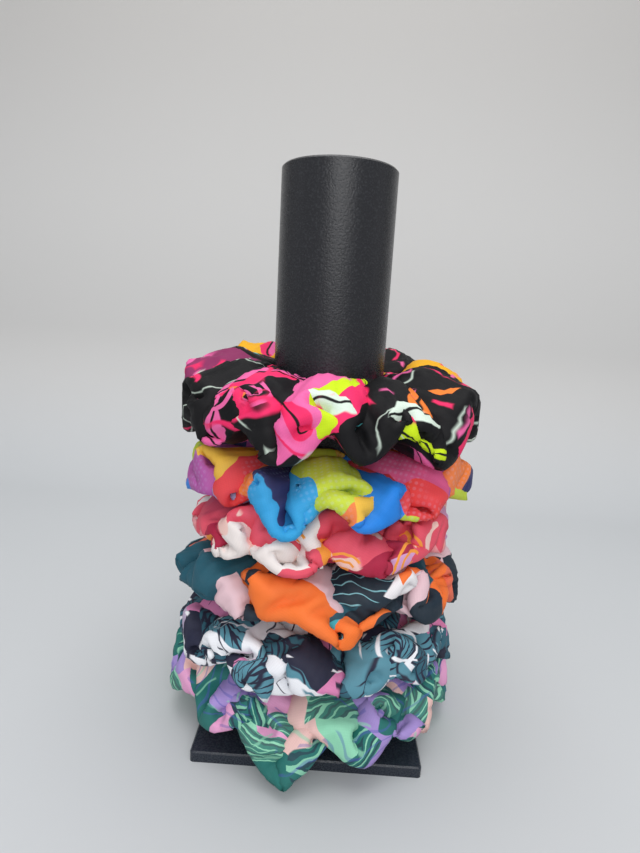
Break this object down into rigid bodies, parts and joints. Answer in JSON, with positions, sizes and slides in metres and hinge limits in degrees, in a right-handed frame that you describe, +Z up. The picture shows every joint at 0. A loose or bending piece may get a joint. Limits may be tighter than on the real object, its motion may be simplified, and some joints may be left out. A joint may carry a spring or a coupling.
{
  "type": "hair tie holder",
  "caption": "Round upright post on a square base plate, carrying a stack of gathered fabric hair ties that lift off over the post's top.",
  "frame": {"origin": "centre of the base plate's underside, on the surface that the holder stands on", "axes": "+Z up along the post, -Y towards the front, where the lowest hair tie hangs over the plate's edge, +X to the right seen from the front"},
  "size_m": [0.1378, 0.1409, 0.253],
  "materials": {
    "printed_plastic": "matte black filament with fine layer lines",
    "elastic": "matte white woven elastic",
    "green_print": "smooth printed fabric, matte",
    "navy_print": "smooth printed fabric, matte",
    "teal_print": "smooth printed fabric, matte",
    "coral_print": "smooth printed fabric, matte",
    "rainbow_print": "smooth printed fabric, matte",
    "black_print": "smooth printed fabric, matte"
  },
  "bodies": {
    "holder": {"base_plate": "printed_plastic", "post": "printed_plastic"},
    "green_scrunchie": {"green_scrunchie_cover": "green_print", "green_scrunchie_elastic": "elastic"},
    "navy_scrunchie": {"navy_scrunchie_cover": "navy_print", "navy_scrunchie_elastic": "elastic"},
    "teal_scrunchie": {"teal_scrunchie_cover": "teal_print", "teal_scrunchie_elastic": "elastic"},
    "coral_scrunchie": {"coral_scrunchie_cover": "coral_print", "coral_scrunchie_elastic": "elastic"},
    "rainbow_scrunchie": {"rainbow_scrunchie_cover": "rainbow_print", "rainbow_scrunchie_elastic": "elastic"},
    "black_scrunchie": {"black_scrunchie_cover": "black_print", "black_scrunchie_elastic": "elastic"}
  },
  "joints": [
    {"name": "green_lift", "type": "slide", "parent": "holder", "child": "green_scrunchie", "axis": [0, 0, 1], "range_m": [0, 0.265]},
    {"name": "navy_lift", "type": "slide", "parent": "green_scrunchie", "child": "navy_scrunchie", "axis": [0, 0, 1], "range_m": [0, 0.235]},
    {"name": "teal_lift", "type": "slide", "parent": "navy_scrunchie", "child": "teal_scrunchie", "axis": [0, 0, 1], "range_m": [0, 0.205]},
    {"name": "coral_lift", "type": "slide", "parent": "teal_scrunchie", "child": "coral_scrunchie", "axis": [0, 0, 1], "range_m": [0, 0.175]},
    {"name": "rainbow_lift", "type": "slide", "parent": "coral_scrunchie", "child": "rainbow_scrunchie", "axis": [0, 0, 1], "range_m": [0, 0.15]},
    {"name": "black_lift", "type": "slide", "parent": "rainbow_scrunchie", "child": "black_scrunchie", "axis": [0, 0, 1], "range_m": [0, 0.125]}
  ]
}
